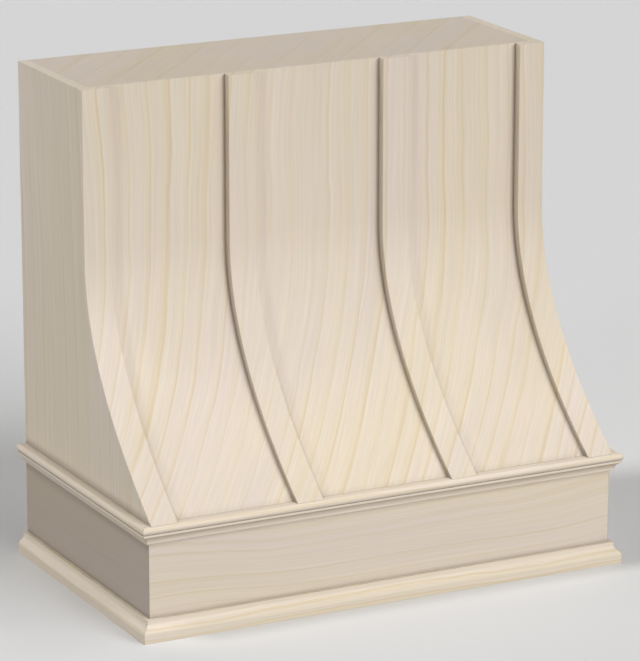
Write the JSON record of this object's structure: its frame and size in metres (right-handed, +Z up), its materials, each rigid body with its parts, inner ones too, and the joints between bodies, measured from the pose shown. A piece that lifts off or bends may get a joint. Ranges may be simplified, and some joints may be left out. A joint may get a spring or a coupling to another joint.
{
  "type": "wooden range hood cover",
  "caption": "Wall-hung wooden range hood cover with a swept front, applied straps, a straight band and moulded edges, open at the back and bottom for an insert.",
  "frame": {"origin": "middle of the outer width and depth, on the level of the bottom edge", "axes": "+X along the wall from the left end to the right as seen from the room, +Y to the wall, so that the front faces -Y, +Z up"},
  "size_m": [0.9524, 0.5524, 0.9144],
  "materials": {
    "maple_panel": "unfinished sanded maple plywood, upright grain",
    "maple_strap": "unfinished sanded solid maple, upright grain",
    "maple_band": "unfinished sanded maple, level grain",
    "maple_moulding": "unfinished milled maple moulding",
    "former_plywood": "bare birch plywood with its layers showing on the sawn edges",
    "frame_timber": "bare planed poplar",
    "screw_steel": "bright zinc plate"
  },
  "bodies": {
    "root": {"side_panel_left": "maple_panel", "side_panel_right": "maple_panel", "front_skin": "maple_panel", "top_panel": "maple_panel", "strap_left": "maple_strap", "strap_inner_left": "maple_strap", "strap_inner_right": "maple_strap", "strap_right": "maple_strap", "band_front": "maple_band", "band_end_left": "maple_band", "band_end_right": "maple_band", "upper_moulding_front": "maple_moulding", "upper_moulding_left": "maple_moulding", "upper_moulding_right": "maple_moulding", "lower_moulding_front": "maple_moulding", "lower_moulding_left": "maple_moulding", "lower_moulding_right": "maple_moulding", "side_former_left": "former_plywood", "side_former_right": "former_plywood", "rib_left": "former_plywood", "rib_right": "former_plywood", "rib_block_left": "frame_timber", "rib_block_right": "frame_timber", "crown_cleat_left": "frame_timber", "crown_cleat_right": "frame_timber", "hanging_rail_top": "frame_timber", "hanging_rail_bottom": "frame_timber", "cleat_front": "frame_timber", "cleat_left": "frame_timber", "cleat_right": "frame_timber", "corner_block_left": "frame_timber", "corner_block_right": "frame_timber", "liner_ledge_back": "frame_timber", "liner_ledge_front": "frame_timber", "liner_ledge_left": "frame_timber", "liner_ledge_right": "frame_timber", "short_screws": "screw_steel", "long_screws": "screw_steel", "foot_screws": "screw_steel", "pocket_screws": "screw_steel"}
  },
  "joints": []
}
